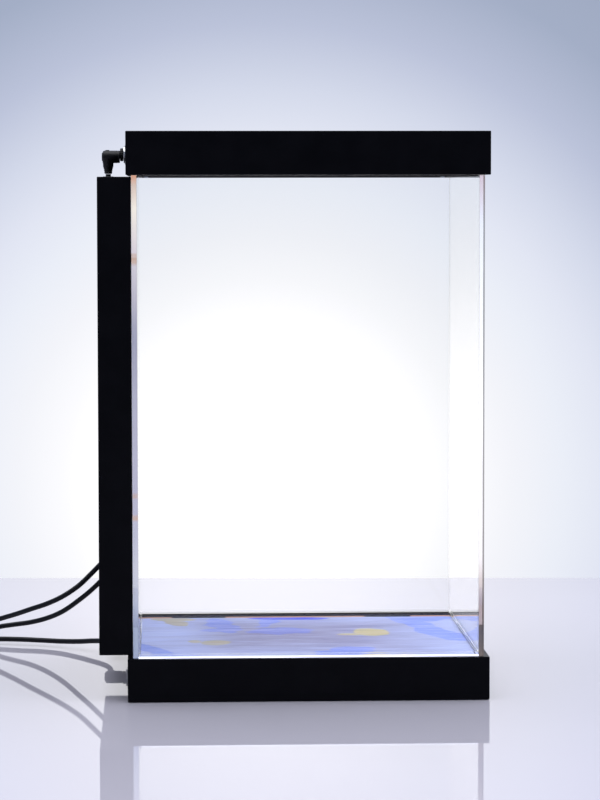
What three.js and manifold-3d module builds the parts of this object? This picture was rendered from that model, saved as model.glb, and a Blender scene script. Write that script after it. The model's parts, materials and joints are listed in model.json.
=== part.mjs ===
// Clear glass tank between a black light stand and a black lift-off hood, with a black light column at its left
// side and three leads that leave at the left rear.
// Millimetres. +Z is up, +X is to the right, +Y is to the back. The origin is the centre of the stand's underside.

import * as THREE from "three";
import { mergeVertices } from "three/addons/utils/BufferGeometryUtils.js";
import Module from "manifold-3d";

const wasm = await Module();
wasm.setup();

// ---------------------------------------------------------------- driving dimensions

const GAP = 0.3; // air left between two pieces that touch
const RUNNING_GAP = 0.4; // radial air round a piece that turns or slides
const ROUND = 18; // sides of a small round piece

const SLAB_WIDTH = 400; // stand and hood, along X
const SLAB_DEPTH = 380; // stand and hood, along Y
const STAND_HEIGHT = 48;
const HOOD_HEIGHT = 48;
const TANK_HEIGHT = 532; // stand's top to hood's underside
const SLAB_WALL = 3.5;
const SLAB_EDGE = 0.8; // rounding of the slabs' outer edges

const LEDGE = 6; // slab's side face to the glass
const GLASS = 6;
const GLASS_EDGE = 0.4; // ground bevel on each pane
const SEAM = 2.4; // leg of a silicone fillet

const MAT_THICKNESS = 1.5;
const SHELL_CLEARANCE = 0.5; // stand shell's lower rim above the surface
const BASE_PLATE = 3;
const FLOOR_RECESS = 2.5; // coloured floor panel below the stand's rim
const FLOOR_PANEL = 3;
const FLOOR_LEDGE = 5; // width of the step that carries the floor panel
const FLOOR_LEDGE_THICKNESS = 3.7;

const DIFFUSER = 3;
const BOARD = 1.6;
const BOARD_MARGIN = 18; // light board's edge to the slab's wall
const STAND_BOARD_HEIGHT = 22;

const HOOD_FRAME = 3;
const HOOD_LIP = 1.8; // lip that hangs inside the glass
const HOOD_LIP_WIDTH = 4;
const HOOD_LIP_CLEARANCE = 0.6;
const HOOD_WINDOW_MARGIN = 18; // inner glass face to the hood's light window
const DIFFUSER_OVERLAP = 2.5;
const HOOD_BOARD_LIFT = 8; // diffuser's top to the light board
const HEAT_SPREADER = 3;

const BOSS = 10; // side of the square screw bosses in the hood
const SCREW_RADIUS = 1.5;
const SCREW_HEAD_RADIUS = 2.8;
const SCREW_HEAD = 1.5;
const SCREW_LENGTH = 9;
const SCREW_INSET = 9; // inner glass face to the screw's axis

const COLUMN_THICKNESS = 37;
const COLUMN_LIFT = 4; // column's underside above the stand's rim
const COLUMN_TOP_GAP = 1.8; // column's top below the hood's underside
const COLUMN_BACK_OVERHANG = 4; // column's back past the glass
const COLUMN_WALL = 2.5;
const PAD_THICKNESS = 1;
const PAD_HEIGHT = 6;
const PAD_END_INSET = 4;
const LOWER_PAD_LIFT = 153; // column's underside to the lower pad's middle
const UPPER_PAD_DROP = 90.2; // column's top to the upper pad's middle
const COLUMN_FOOT_LENGTH = 24;
const COLUMN_FOOT_INSET = 30;

const SUPPLY_WIDTH = 42;
const SUPPLY_LENGTH = 120;
const SUPPLY_HEIGHT = 14;
const STAND_SUPPLY_INSET = [100, 53]; // slab's left and back faces to the stand's power supply
const HOOD_SUPPLY_INSET = [100, 95]; // the same for the hood's
const COLUMN_BOARD_LIFT = 238; // column's underside to its light board
const COLUMN_LEAD_INSET = 7.7; // column's outer face to the axis of the hood's lead

// Round connector family: square flange, bright socket ring, coupling nut and elbow.
const INLET_INSET = 56; // slab's back face to the axis of the hood and stand inlets
const HOOD_INLET_HEIGHT = 25.6; // above the hood's underside
const STAND_INLET_HEIGHT = 21.5;
const COLUMN_INLET_LIFT = 78.2; // column's underside to its inlet
const FLANGE_SIDE = 26.5;
const FLANGE = 3;
const FLANGE_CORNER = 3;
const SOCKET_RADIUS = 7.5;
const SOCKET_DEPTH = 10;
const SOCKET_RING_RADIUS = 10;
const SOCKET_RING = 1.6;
const SPIGOT_RADIUS = 4.7;
const SPIGOT_LENGTH = 8.4;
const NUT_RADIUS = 7.7;
const NUT_LENGTH = 3.9;
const NUT_RIBS = 20;
const NUT_RIB_DEPTH = 0.4;
const ELBOW_RADIUS = 7.4;
const ELBOW_LENGTH = 13.9; // elbow's shoulder to the leg's axis
const ELBOW_DROP = 2.5; // elbow's barrel below the nut's axis
const LEG_LENGTH = 22.7; // nut's axis to the leg's tip
const LEG_TOP_RADIUS = 6.4;
const LEG_TIP_RADIUS = 4.3;
const STAND_LEG_TILT = 8; // degrees below level

// Leads.
const CABLE_RADIUS = 3.1;
const CABLE_SIDES = 8;
const CABLE_STEPS = 32;
const HOOD_LEAD_LENGTH = 152; // leg's tip to the lead's joint inside the column
const GROMMET_RADIUS = 7;
const GROMMET_FLANGE = 1.4;
const GLAND_LIFT = 55; // column's underside to the rear gland
const GLAND_LENGTH = 16;
const GLAND_RADIUS = 6.5;
const GLAND_TIP_RADIUS = 4.1;
const COIL_RADIUS = 33; // middle of the turns
const COIL_TURNS_ACROSS = 3;
const COIL_LAYERS = 2;
const COIL_SEGMENTS = 28;
const TAIL_LENGTH = 26; // from the coil to the lead's end connector
const END_BOOT = 14;
const END_BARREL = 18;
const END_NUT = 9;
const END_BARREL_RADIUS = 7.2;

// ---------------------------------------------------------------- places worked out from them

const slabX = SLAB_WIDTH / 2;
const slabY = SLAB_DEPTH / 2;
const glassX = slabX - LEDGE;
const glassY = slabY - LEDGE;
const innerX = glassX - GLASS;
const innerY = glassY - GLASS;
const standTop = STAND_HEIGHT;
const hoodBottom = standTop + TANK_HEIGHT;
const floorTop = standTop - FLOOR_RECESS;
const floorBottom = floorTop - FLOOR_PANEL;
const paneBottomTop = floorTop + GAP + GLASS;
const columnRight = -glassX - GAP;
const columnLeft = columnRight - COLUMN_THICKNESS;
const columnX = (columnLeft + columnRight) / 2;
const columnFront = -glassY;
const columnBack = glassY + COLUMN_BACK_OVERHANG;
const columnBottom = standTop + COLUMN_LIFT;
const columnTop = hoodBottom - COLUMN_TOP_GAP;
const socketHole = SOCKET_RADIUS + GAP;
const ringStart = GAP + FLANGE + GAP;
const nutStart = ringStart + SOCKET_RING + GAP;
const elbowStart = nutStart + NUT_LENGTH + GAP;
const legAxis = elbowStart + ELBOW_LENGTH;
const hoodLegAxis = -slabX - columnLeft - COLUMN_LEAD_INSET;
const inletY = slabY - INLET_INSET;
const legTilt = THREE.MathUtils.degToRad(STAND_LEG_TILT);

const LEFT = new THREE.Vector3(-1, 0, 0);
const BACK = new THREE.Vector3(0, 1, 0);
const DOWN = new THREE.Vector3(0, 0, -1);

// ---------------------------------------------------------------- materials

const satinBlack = new THREE.MeshStandardMaterial({ color: 0x0b0b0e, roughness: 0.35, metalness: 0.1 });
const darkFrame = new THREE.MeshStandardMaterial({ color: 0x17120f, roughness: 0.5 });
const glass = new THREE.MeshStandardMaterial({ color: 0xdfeef2, roughness: 0.05, transparent: true, opacity: 0.25 });
const silicone = new THREE.MeshStandardMaterial({ color: 0xe6ecee, roughness: 0.3, transparent: true, opacity: 0.5 });
const floorBlue = new THREE.MeshStandardMaterial({ color: 0x9aa0d8, roughness: 0.3 });
const opal = new THREE.MeshStandardMaterial({ color: 0xf2f3f2, roughness: 0.5 });
const circuit = new THREE.MeshStandardMaterial({ color: 0xe8e8e4, roughness: 0.5 });
const aluminium = new THREE.MeshStandardMaterial({ color: 0xb8bbbf, roughness: 0.35, metalness: 1 });
const steel = new THREE.MeshStandardMaterial({ color: 0x8f9296, roughness: 0.3, metalness: 1 });
const rubber = new THREE.MeshStandardMaterial({ color: 0x141414, roughness: 0.8 });
const plastic = new THREE.MeshStandardMaterial({ color: 0x18181b, roughness: 0.45 });
const padBrown = new THREE.MeshStandardMaterial({ color: 0x7a4526, roughness: 0.7 });

// ---------------------------------------------------------------- solids

// A closed geometry as a manifold solid.
function solid(geometry) {
  const bare = geometry.clone();
  bare.deleteAttribute("normal");
  bare.deleteAttribute("uv");
  const merged = mergeVertices(bare, 1e-4);
  const index = merged.index.array;
  const kept = [];
  for (let i = 0; i < index.length; i += 3) {
    const [a, b, c] = [index[i], index[i + 1], index[i + 2]];
    if (a !== b && b !== c && c !== a) kept.push(a, b, c);
  }
  return new wasm.Manifold(
    new wasm.Mesh({
      numProp: 3,
      vertProperties: merged.attributes.position.array,
      triVerts: new Uint32Array(kept),
    }),
  );
}

// A manifold solid as a geometry.
function geometryOf(made) {
  const mesh = made.getMesh();
  const geometry = new THREE.BufferGeometry();
  geometry.setAttribute("position", new THREE.BufferAttribute(new Float32Array(mesh.vertProperties), 3));
  geometry.setIndex(new THREE.BufferAttribute(new Uint32Array(mesh.triVerts), 1));
  geometry.computeVertexNormals();
  return geometry;
}

function cut(geometry, ...tools) {
  return geometryOf(tools.reduce((left, tool) => left.subtract(solid(tool)), solid(geometry)));
}

function join(...pieces) {
  return geometryOf(pieces.slice(1).reduce((sum, piece) => sum.add(solid(piece)), solid(pieces[0])));
}

// A box between its lowest and highest corners.
function box(low, high) {
  const size = high.map((value, i) => value - low[i]);
  const middle = high.map((value, i) => (value + low[i]) / 2);
  return new THREE.BoxGeometry(...size).translate(...middle);
}

// A box centred on the Z axis, given by its half sizes and its two heights.
function plate(halfX, halfY, bottom, top) {
  return box([-halfX, -halfY, bottom], [halfX, halfY, top]);
}

// A centred plate whose sides slope out from its lower half sizes to its upper ones.
function taperedPlate(lower, upper, bottom, top) {
  const geometry = plate(1, 1, bottom, top);
  const position = geometry.attributes.position;
  const middle = (bottom + top) / 2;
  for (let i = 0; i < position.count; i++) {
    const [reachX, reachY] = position.getZ(i) > middle ? upper : lower;
    position.setXY(i, position.getX(i) * reachX, position.getY(i) * reachY);
  }
  return geometry;
}

function roundedOutline(width, height, radius) {
  const [x, y] = [width / 2, height / 2];
  const outline = new THREE.Shape();
  outline.moveTo(-x + radius, -y);
  outline.lineTo(x - radius, -y);
  outline.absarc(x - radius, -y + radius, radius, -Math.PI / 2, 0);
  outline.lineTo(x, y - radius);
  outline.absarc(x - radius, y - radius, radius, 0, Math.PI / 2);
  outline.lineTo(-x + radius, y);
  outline.absarc(-x + radius, y - radius, radius, Math.PI / 2, Math.PI);
  outline.lineTo(-x, -y + radius);
  outline.absarc(-x + radius, -y + radius, radius, Math.PI, Math.PI * 1.5);
  return outline;
}

// A block whose outer edges are all softened: its footprint is centred, and it stands between two heights.
function softBlock(width, depth, bottom, top, edge) {
  const outline = roundedOutline(width - 2 * edge, depth - 2 * edge, edge / 2);
  return new THREE.ExtrudeGeometry(outline, {
    depth: top - bottom - 2 * edge,
    bevelThickness: edge,
    bevelSize: edge,
    bevelSegments: 2,
    curveSegments: 2,
  }).translate(0, 0, bottom + edge);
}

// A pane of glass, thin along one axis, with a ground bevel on its edges.
function pane(low, high, thinAxis) {
  const size = high.map((value, i) => value - low[i]);
  const middle = high.map((value, i) => (value + low[i]) / 2);
  const [across, along] = { x: [1, 2], y: [0, 2], z: [0, 1] }[thinAxis].map((i) => size[i] - 2 * GLASS_EDGE);
  const thickness = size[{ x: 0, y: 1, z: 2 }[thinAxis]];
  const outline = new THREE.Shape();
  outline.moveTo(-across / 2, -along / 2);
  outline.lineTo(across / 2, -along / 2);
  outline.lineTo(across / 2, along / 2);
  outline.lineTo(-across / 2, along / 2);
  const geometry = new THREE.ExtrudeGeometry(outline, {
    depth: thickness - 2 * GLASS_EDGE,
    bevelThickness: GLASS_EDGE,
    bevelSize: GLASS_EDGE,
    bevelSegments: 1,
  }).translate(0, 0, GLASS_EDGE - thickness / 2);
  if (thinAxis === "x") geometry.rotateX(Math.PI / 2).rotateZ(Math.PI / 2);
  if (thinAxis === "y") geometry.rotateX(Math.PI / 2);
  return geometry.translate(...middle);
}

// A turned solid about the local X axis, from a closed outline of [radius, x] points, outer side rising in x.
function turned(profile, segments = ROUND) {
  const points = profile.map(([radius, x]) => new THREE.Vector2(radius, x));
  return new THREE.LatheGeometry([...points, points[0]], segments).rotateZ(-Math.PI / 2);
}

// A round bar along the local X axis.
function bar(radius, start, end, segments = ROUND) {
  return new THREE.CylinderGeometry(radius, radius, end - start, segments)
    .rotateZ(-Math.PI / 2)
    .translate((start + end) / 2, 0, 0);
}

// ---------------------------------------------------------------- the assembly

const assembly = new THREE.Group();

function add(name, geometry, material, parent = assembly) {
  const mesh = new THREE.Mesh(geometry, material);
  mesh.name = name;
  parent.add(mesh);
  return mesh;
}

// A group whose local X runs out of a face and whose local -Z runs along the elbow's leg.
function connectorGroup(origin, outward, leg) {
  const x = outward.clone().normalize();
  const z = leg.clone().normalize().negate();
  const y = new THREE.Vector3().crossVectors(z, x);
  const group = new THREE.Group();
  group.applyMatrix4(new THREE.Matrix4().makeBasis(x, y, z).setPosition(origin));
  assembly.add(group);
  return group;
}

// The hole that a socket needs in the wall behind its flange, in the part's frame.
function socketBore(group) {
  group.updateMatrixWorld(true);
  return bar(socketHole, -SOCKET_DEPTH, GAP).applyMatrix4(group.matrixWorld);
}

function inlet(prefix, group) {
  const flange = new THREE.ExtrudeGeometry(roundedOutline(FLANGE_SIDE, FLANGE_SIDE, FLANGE_CORNER), {
    depth: FLANGE,
    bevelEnabled: false,
    curveSegments: 4,
  })
    .rotateY(Math.PI / 2)
    .translate(GAP, 0, 0);
  add(`${prefix}_inlet_flange`, cut(flange, bar(socketHole, 0, ringStart)), plastic, group);
  const bore = SPIGOT_RADIUS + RUNNING_GAP;
  const boreFloor = nutStart - SPIGOT_LENGTH;
  const face = ringStart + SOCKET_RING;
  const socket = turned([
    [0, -SOCKET_DEPTH],
    [SOCKET_RADIUS, -SOCKET_DEPTH],
    [SOCKET_RADIUS, ringStart],
    [SOCKET_RING_RADIUS, ringStart],
    [SOCKET_RING_RADIUS, face],
    [bore, face],
    [bore, boreFloor],
    [0, boreFloor],
  ]);
  add(`${prefix}_inlet_socket`, socket, steel, group);
}

// A slab's power supply, lying along X, given by its inset from the slab's left and back faces.
function supplyBox([insetX, insetY], bottom) {
  const low = [-slabX + insetX, slabY - insetY - SUPPLY_WIDTH, bottom];
  const high = [low[0] + SUPPLY_LENGTH, low[1] + SUPPLY_WIDTH, bottom + SUPPLY_HEIGHT];
  return box(low, high);
}

// An elbow plug and its nut. The axis of the elbow's leg is axis out of the face that the plug sits on.
function elbowPlug(prefix, group, axis = legAxis) {
  const ribs = new THREE.Shape();
  for (let i = 0; i < 2 * NUT_RIBS; i++) {
    const radius = NUT_RADIUS - (i % 2) * NUT_RIB_DEPTH;
    const angle = (Math.PI * i) / NUT_RIBS;
    const point = [radius * Math.cos(angle), radius * Math.sin(angle)];
    if (i === 0) ribs.moveTo(...point);
    else ribs.lineTo(...point);
  }
  const nut = new THREE.ExtrudeGeometry(ribs, { depth: NUT_LENGTH, bevelEnabled: false })
    .rotateY(Math.PI / 2)
    .translate(nutStart, 0, 0);
  const nutBore = bar(SPIGOT_RADIUS + RUNNING_GAP, nutStart - 1, elbowStart + 1);
  add(`${prefix}_plug_nut`, cut(nut, nutBore), steel, group);

  const spigot = bar(SPIGOT_RADIUS, nutStart - SPIGOT_LENGTH + 1, elbowStart + 2);
  const barrel = bar(ELBOW_RADIUS, elbowStart, axis).translate(0, 0, -ELBOW_DROP);
  const bend = new THREE.SphereGeometry(ELBOW_RADIUS, ROUND, ROUND / 2).translate(axis, 0, -ELBOW_DROP);
  const legHeight = LEG_LENGTH - ELBOW_DROP;
  const leg = new THREE.CylinderGeometry(LEG_TOP_RADIUS, LEG_TIP_RADIUS, legHeight, ROUND)
    .rotateX(Math.PI / 2)
    .translate(axis, 0, -ELBOW_DROP - legHeight / 2);
  add(`${prefix}_plug_elbow`, join(barrel, bend, leg, spigot), plastic, group);
}

// ---------------------------------------------------------------- stand

const standOutlet = [new THREE.Vector3(-slabX, inletY, STAND_INLET_HEIGHT), LEFT];
const standInlet = connectorGroup(...standOutlet, DOWN);
const standPlug = connectorGroup(...standOutlet, new THREE.Vector3(0, Math.cos(legTilt), -Math.sin(legTilt)));

function stand() {
  const wallX = slabX - SLAB_WALL;
  const wallY = slabY - SLAB_WALL;
  const ledgeBottom = floorBottom - GAP - FLOOR_LEDGE_THICKNESS;
  const plateBottom = MAT_THICKNESS + GAP;
  const plateTop = plateBottom + BASE_PLATE;
  add("stand_levelling_mat", plate(wallX - GAP, wallY - GAP, 0, MAT_THICKNESS), rubber);
  add("stand_base_plate", plate(wallX - GAP, wallY - GAP, plateBottom, plateTop), steel);
  add(
    "stand_shell",
    cut(
      softBlock(SLAB_WIDTH, SLAB_DEPTH, SHELL_CLEARANCE, standTop, SLAB_EDGE),
      plate(wallX, wallY, -1, ledgeBottom),
      plate(innerX - FLOOR_LEDGE, innerY - FLOOR_LEDGE, 0, standTop + 1),
      plate(innerX, innerY, floorBottom - GAP, standTop + 1),
      socketBore(standInlet),
    ),
    satinBlack,
  );
  const diffuserTop = ledgeBottom - GAP;
  add("stand_diffuser", plate(innerX - GAP, innerY - GAP, diffuserTop - DIFFUSER, diffuserTop), opal);
  add(
    "stand_light_board",
    plate(slabX - BOARD_MARGIN, slabY - BOARD_MARGIN, STAND_BOARD_HEIGHT, STAND_BOARD_HEIGHT + BOARD),
    circuit,
  );
  add("floor_panel", plate(innerX - GAP, innerY - GAP, floorBottom, floorTop), floorBlue);
  add("stand_power_supply", supplyBox(STAND_SUPPLY_INSET, plateTop + GAP), plastic);
}

// ---------------------------------------------------------------- tank

function tank() {
  const bottom = standTop + GAP;
  const top = hoodBottom - GAP;
  const frontX = innerX - GAP;
  add("left_pane", pane([-glassX, -glassY, bottom], [-innerX, glassY, top], "x"), glass);
  add("right_pane", pane([innerX, -glassY, bottom], [glassX, glassY, top], "x"), glass);
  add("front_pane", pane([-frontX, -glassY, bottom], [frontX, -innerY, top], "y"), glass);
  add("back_pane", pane([-frontX, innerY, bottom], [frontX, glassY, top], "y"), glass);
  add(
    "bottom_pane",
    pane([-innerX + GAP, -innerY + GAP, floorTop + GAP], [innerX - GAP, innerY - GAP, paneBottomTop], "z"),
    glass,
  );

  const seamBottom = paneBottomTop + GAP;
  const cornerBottom = seamBottom + SEAM + GAP;
  const cornerTop = hoodBottom - HOOD_LIP - GAP;
  const fillet = new THREE.Shape();
  fillet.moveTo(0, 0);
  fillet.lineTo(SEAM, 0);
  fillet.absarc(SEAM, SEAM, SEAM, -Math.PI / 2, -Math.PI, true);
  fillet.lineTo(0, 0);
  const corners = [
    ["front_left", -1, -1],
    ["front_right", 1, -1],
    ["back_right", 1, 1],
    ["back_left", -1, 1],
  ];
  corners.forEach(([place, signX, signY], quarter) => {
    const seam = new THREE.ExtrudeGeometry(fillet, {
      depth: cornerTop - cornerBottom,
      bevelEnabled: false,
      curveSegments: 3,
    });
    seam.rotateZ((quarter * Math.PI) / 2);
    seam.translate(signX * (innerX - GAP), signY * (innerY - GAP), cornerBottom);
    add(`${place}_seam`, seam, silicone);
  });

  const ringX = innerX - GAP;
  const ringY = innerY - GAP;
  const seamTop = seamBottom + SEAM;
  add(
    "bottom_seam",
    cut(
      plate(ringX, ringY, seamBottom, seamTop - GAP),
      taperedPlate([ringX - SEAM, ringY - SEAM], [ringX, ringY], seamBottom - GAP, seamTop),
    ),
    silicone,
  );
}

// ---------------------------------------------------------------- hood

const hoodInlet = connectorGroup(new THREE.Vector3(-slabX, inletY, hoodBottom + HOOD_INLET_HEIGHT), LEFT, DOWN);

function hood() {
  const wallX = slabX - SLAB_WALL;
  const wallY = slabY - SLAB_WALL;
  const top = hoodBottom + HOOD_HEIGHT;
  const frameTop = hoodBottom + HOOD_FRAME;
  const windowX = innerX - HOOD_WINDOW_MARGIN;
  const windowY = innerY - HOOD_WINDOW_MARGIN;
  const screwX = innerX - SCREW_INSET;
  const screwY = innerY - SCREW_INSET;
  const holeTop = hoodBottom + SCREW_LENGTH + GAP;
  const hole = SCREW_RADIUS + GAP;

  const spots = [
    [-screwX, -screwY],
    [screwX, -screwY],
    [screwX, screwY],
    [-screwX, screwY],
  ];
  const holes = spots.map(([x, y]) =>
    bar(hole, hoodBottom - 1, holeTop, 12)
      .rotateY(-Math.PI / 2)
      .translate(x, y, 0),
  );
  const bosses = spots.map(([x, y]) =>
    box([x - BOSS / 2, y - BOSS / 2, frameTop + GAP], [x + BOSS / 2, y + BOSS / 2, top - SLAB_WALL + 1]),
  );
  const shell = cut(
    softBlock(SLAB_WIDTH, SLAB_DEPTH, hoodBottom, top, SLAB_EDGE),
    plate(wallX, wallY, hoodBottom - 1, top - SLAB_WALL),
    socketBore(hoodInlet),
  );
  add("hood_shell", cut(join(shell, ...bosses), ...holes), satinBlack);

  const lipX = innerX - HOOD_LIP_CLEARANCE;
  const lipY = innerY - HOOD_LIP_CLEARANCE;
  const lip = cut(
    plate(lipX, lipY, hoodBottom - HOOD_LIP, hoodBottom + 1),
    plate(lipX - HOOD_LIP_WIDTH, lipY - HOOD_LIP_WIDTH, 0, hoodBottom + HOOD_HEIGHT),
  );
  const frame = cut(
    join(plate(wallX - GAP, wallY - GAP, hoodBottom, frameTop), lip),
    plate(windowX, windowY, 0, top),
    ...holes,
  );
  add("hood_frame", frame, darkFrame);

  spots.forEach(([x, y], i) => {
    const screw = turned(
      [
        [0, hoodBottom - GAP - SCREW_HEAD],
        [SCREW_HEAD_RADIUS * 0.8, hoodBottom - GAP - SCREW_HEAD],
        [SCREW_HEAD_RADIUS, hoodBottom - GAP - SCREW_HEAD / 2],
        [SCREW_HEAD_RADIUS, hoodBottom - GAP],
        [SCREW_RADIUS, hoodBottom - GAP],
        [SCREW_RADIUS, hoodBottom + SCREW_LENGTH],
        [0, hoodBottom + SCREW_LENGTH],
      ],
      12,
    )
      .rotateY(-Math.PI / 2)
      .translate(x, y, 0);
    add(`hood_screw_${i + 1}`, screw, steel);
  });

  const diffuserBottom = frameTop + GAP;
  const diffuserX = windowX + DIFFUSER_OVERLAP;
  const diffuserY = windowY + DIFFUSER_OVERLAP;
  add("hood_diffuser", plate(diffuserX, diffuserY, diffuserBottom, diffuserBottom + DIFFUSER), opal);
  const boardBottom = diffuserBottom + DIFFUSER + HOOD_BOARD_LIFT;
  add("hood_light_board", plate(windowX, windowY, boardBottom, boardBottom + BOARD), circuit);
  const spreaderBottom = boardBottom + BOARD + GAP;
  const spreaderTop = spreaderBottom + HEAT_SPREADER;
  add("hood_heat_spreader", plate(windowX, windowY, spreaderBottom, spreaderTop), aluminium);
  add("hood_power_supply", supplyBox(HOOD_SUPPLY_INSET, spreaderTop + GAP), plastic);
}

// ---------------------------------------------------------------- light column at the left side

const columnOutlet = [new THREE.Vector3(columnX, columnBack, columnBottom + COLUMN_INLET_LIFT), BACK];
const columnInlet = connectorGroup(...columnOutlet, DOWN);
const columnPlug = connectorGroup(...columnOutlet, new THREE.Vector3(-1, 0, -1));
const glandHeight = columnBottom + GLAND_LIFT;
const hoodLeadX = -slabX - hoodLegAxis;
const hoodLeadTop = hoodBottom + HOOD_INLET_HEIGHT - LEG_LENGTH - GAP;

function column() {
  const depth = columnBack - columnFront;
  const padsLeft = columnRight - PAD_THICKNESS;
  const coverRight = padsLeft - GAP;
  const coverLeft = coverRight - DIFFUSER;
  const grommetHole = GROMMET_RADIUS - 1.5;
  const innerLow = [columnLeft + COLUMN_WALL, columnFront + COLUMN_WALL, columnBottom + COLUMN_WALL];
  const innerHigh = [columnRight + 1, columnBack - COLUMN_WALL, columnTop - COLUMN_WALL];
  const outer = softBlock(COLUMN_THICKNESS, depth, columnBottom, columnTop, SLAB_EDGE).translate(
    columnX,
    (columnFront + columnBack) / 2,
    0,
  );
  const leadHole = bar(grommetHole, columnTop - 2 * COLUMN_WALL, columnTop + 1)
    .rotateY(-Math.PI / 2)
    .translate(hoodLeadX, inletY, 0);
  const glandHole = bar(GLAND_RADIUS - 1.5, -2 * COLUMN_WALL, 1)
    .rotateZ(Math.PI / 2)
    .translate(columnX, columnBack, glandHeight);
  add(
    "column_housing",
    cut(outer, box(innerLow, innerHigh), leadHole, glandHole, socketBore(columnInlet)),
    satinBlack,
  );
  const coverLow = [coverLeft, innerLow[1] + GAP, innerLow[2] + GAP];
  const coverHigh = [coverRight, innerHigh[1] - GAP, innerHigh[2] - GAP];
  add("column_light_cover", box(coverLow, coverHigh), opal);
  const boardLeft = innerLow[0] + GAP;
  const boardLow = [boardLeft, innerLow[1] + BOARD_MARGIN, columnBottom + COLUMN_BOARD_LIFT];
  const boardHigh = [boardLeft + BOARD, innerHigh[1] - BOARD_MARGIN, columnTop - BOARD_MARGIN];
  add("column_light_board", cut(box(boardLow, boardHigh), leadClearance()), circuit);
  const supplyLow = [boardLeft, columnFront + BOARD_MARGIN, columnBottom + BOARD_MARGIN];
  const supplyHigh = [supplyLow[0] + SUPPLY_HEIGHT, supplyLow[1] + SUPPLY_LENGTH, supplyLow[2] + SUPPLY_WIDTH];
  add("column_power_supply", box(supplyLow, supplyHigh), plastic);

  [
    ["lower", columnBottom + LOWER_PAD_LIFT],
    ["upper", columnTop - UPPER_PAD_DROP],
  ].forEach(([place, level]) => {
    const low = [padsLeft, columnFront + COLUMN_WALL + PAD_END_INSET, level - PAD_HEIGHT / 2];
    const high = [columnRight, columnBack - COLUMN_WALL - PAD_END_INSET, level + PAD_HEIGHT / 2];
    add(`column_pad_${place}`, box(low, high), padBrown);
  });
  const footY = glassY - COLUMN_FOOT_INSET;
  [
    ["front", -footY],
    ["back", footY - COLUMN_FOOT_LENGTH],
  ].forEach(([place, start]) => {
    const low = [-slabX + SLAB_EDGE, start, standTop + GAP];
    const high = [columnRight - GAP, start + COLUMN_FOOT_LENGTH, columnBottom - GAP];
    add(`column_foot_${place}`, box(low, high), rubber);
  });

  const cableHole = CABLE_RADIUS + RUNNING_GAP;
  const grommet = turned([
    [cableHole, columnTop - COLUMN_WALL - GROMMET_FLANGE],
    [grommetHole - GAP, columnTop - COLUMN_WALL - GROMMET_FLANGE],
    [grommetHole - GAP, columnTop + GAP],
    [GROMMET_RADIUS, columnTop + GAP],
    [GROMMET_RADIUS, columnTop + GAP + GROMMET_FLANGE / 2],
    [GROMMET_RADIUS - 1, columnTop + GAP + GROMMET_FLANGE],
    [cableHole, columnTop + GAP + GROMMET_FLANGE],
  ])
    .rotateY(-Math.PI / 2)
    .translate(hoodLeadX, inletY, 0);
  add("column_top_grommet", grommet, rubber);
  const gland = turned([
    [0, -COLUMN_WALL - GROMMET_FLANGE],
    [GLAND_RADIUS - 1.5 - GAP, -COLUMN_WALL - GROMMET_FLANGE],
    [GLAND_RADIUS - 1.5 - GAP, GAP],
    [GLAND_RADIUS, GAP],
    [GLAND_RADIUS, GAP + 3],
    [GLAND_TIP_RADIUS + 1.4, GAP + 4.5],
    [GLAND_TIP_RADIUS, GLAND_LENGTH],
    [0, GLAND_LENGTH],
  ])
    .rotateZ(Math.PI / 2)
    .translate(columnX, columnBack, glandHeight);
  add("column_rear_gland", gland, rubber);
}

function leadClearance() {
  return bar(CABLE_RADIUS + 2 * RUNNING_GAP, hoodLeadTop - HOOD_LEAD_LENGTH - 1, hoodLeadTop)
    .rotateY(-Math.PI / 2)
    .translate(hoodLeadX, inletY, 0);
}

// ---------------------------------------------------------------- leads

function hoodLead() {
  const lead = bar(CABLE_RADIUS, hoodLeadTop - HOOD_LEAD_LENGTH, hoodLeadTop)
    .rotateY(-Math.PI / 2)
    .translate(hoodLeadX, inletY, 0);
  add("hood_lead", lead, rubber);
}

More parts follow.
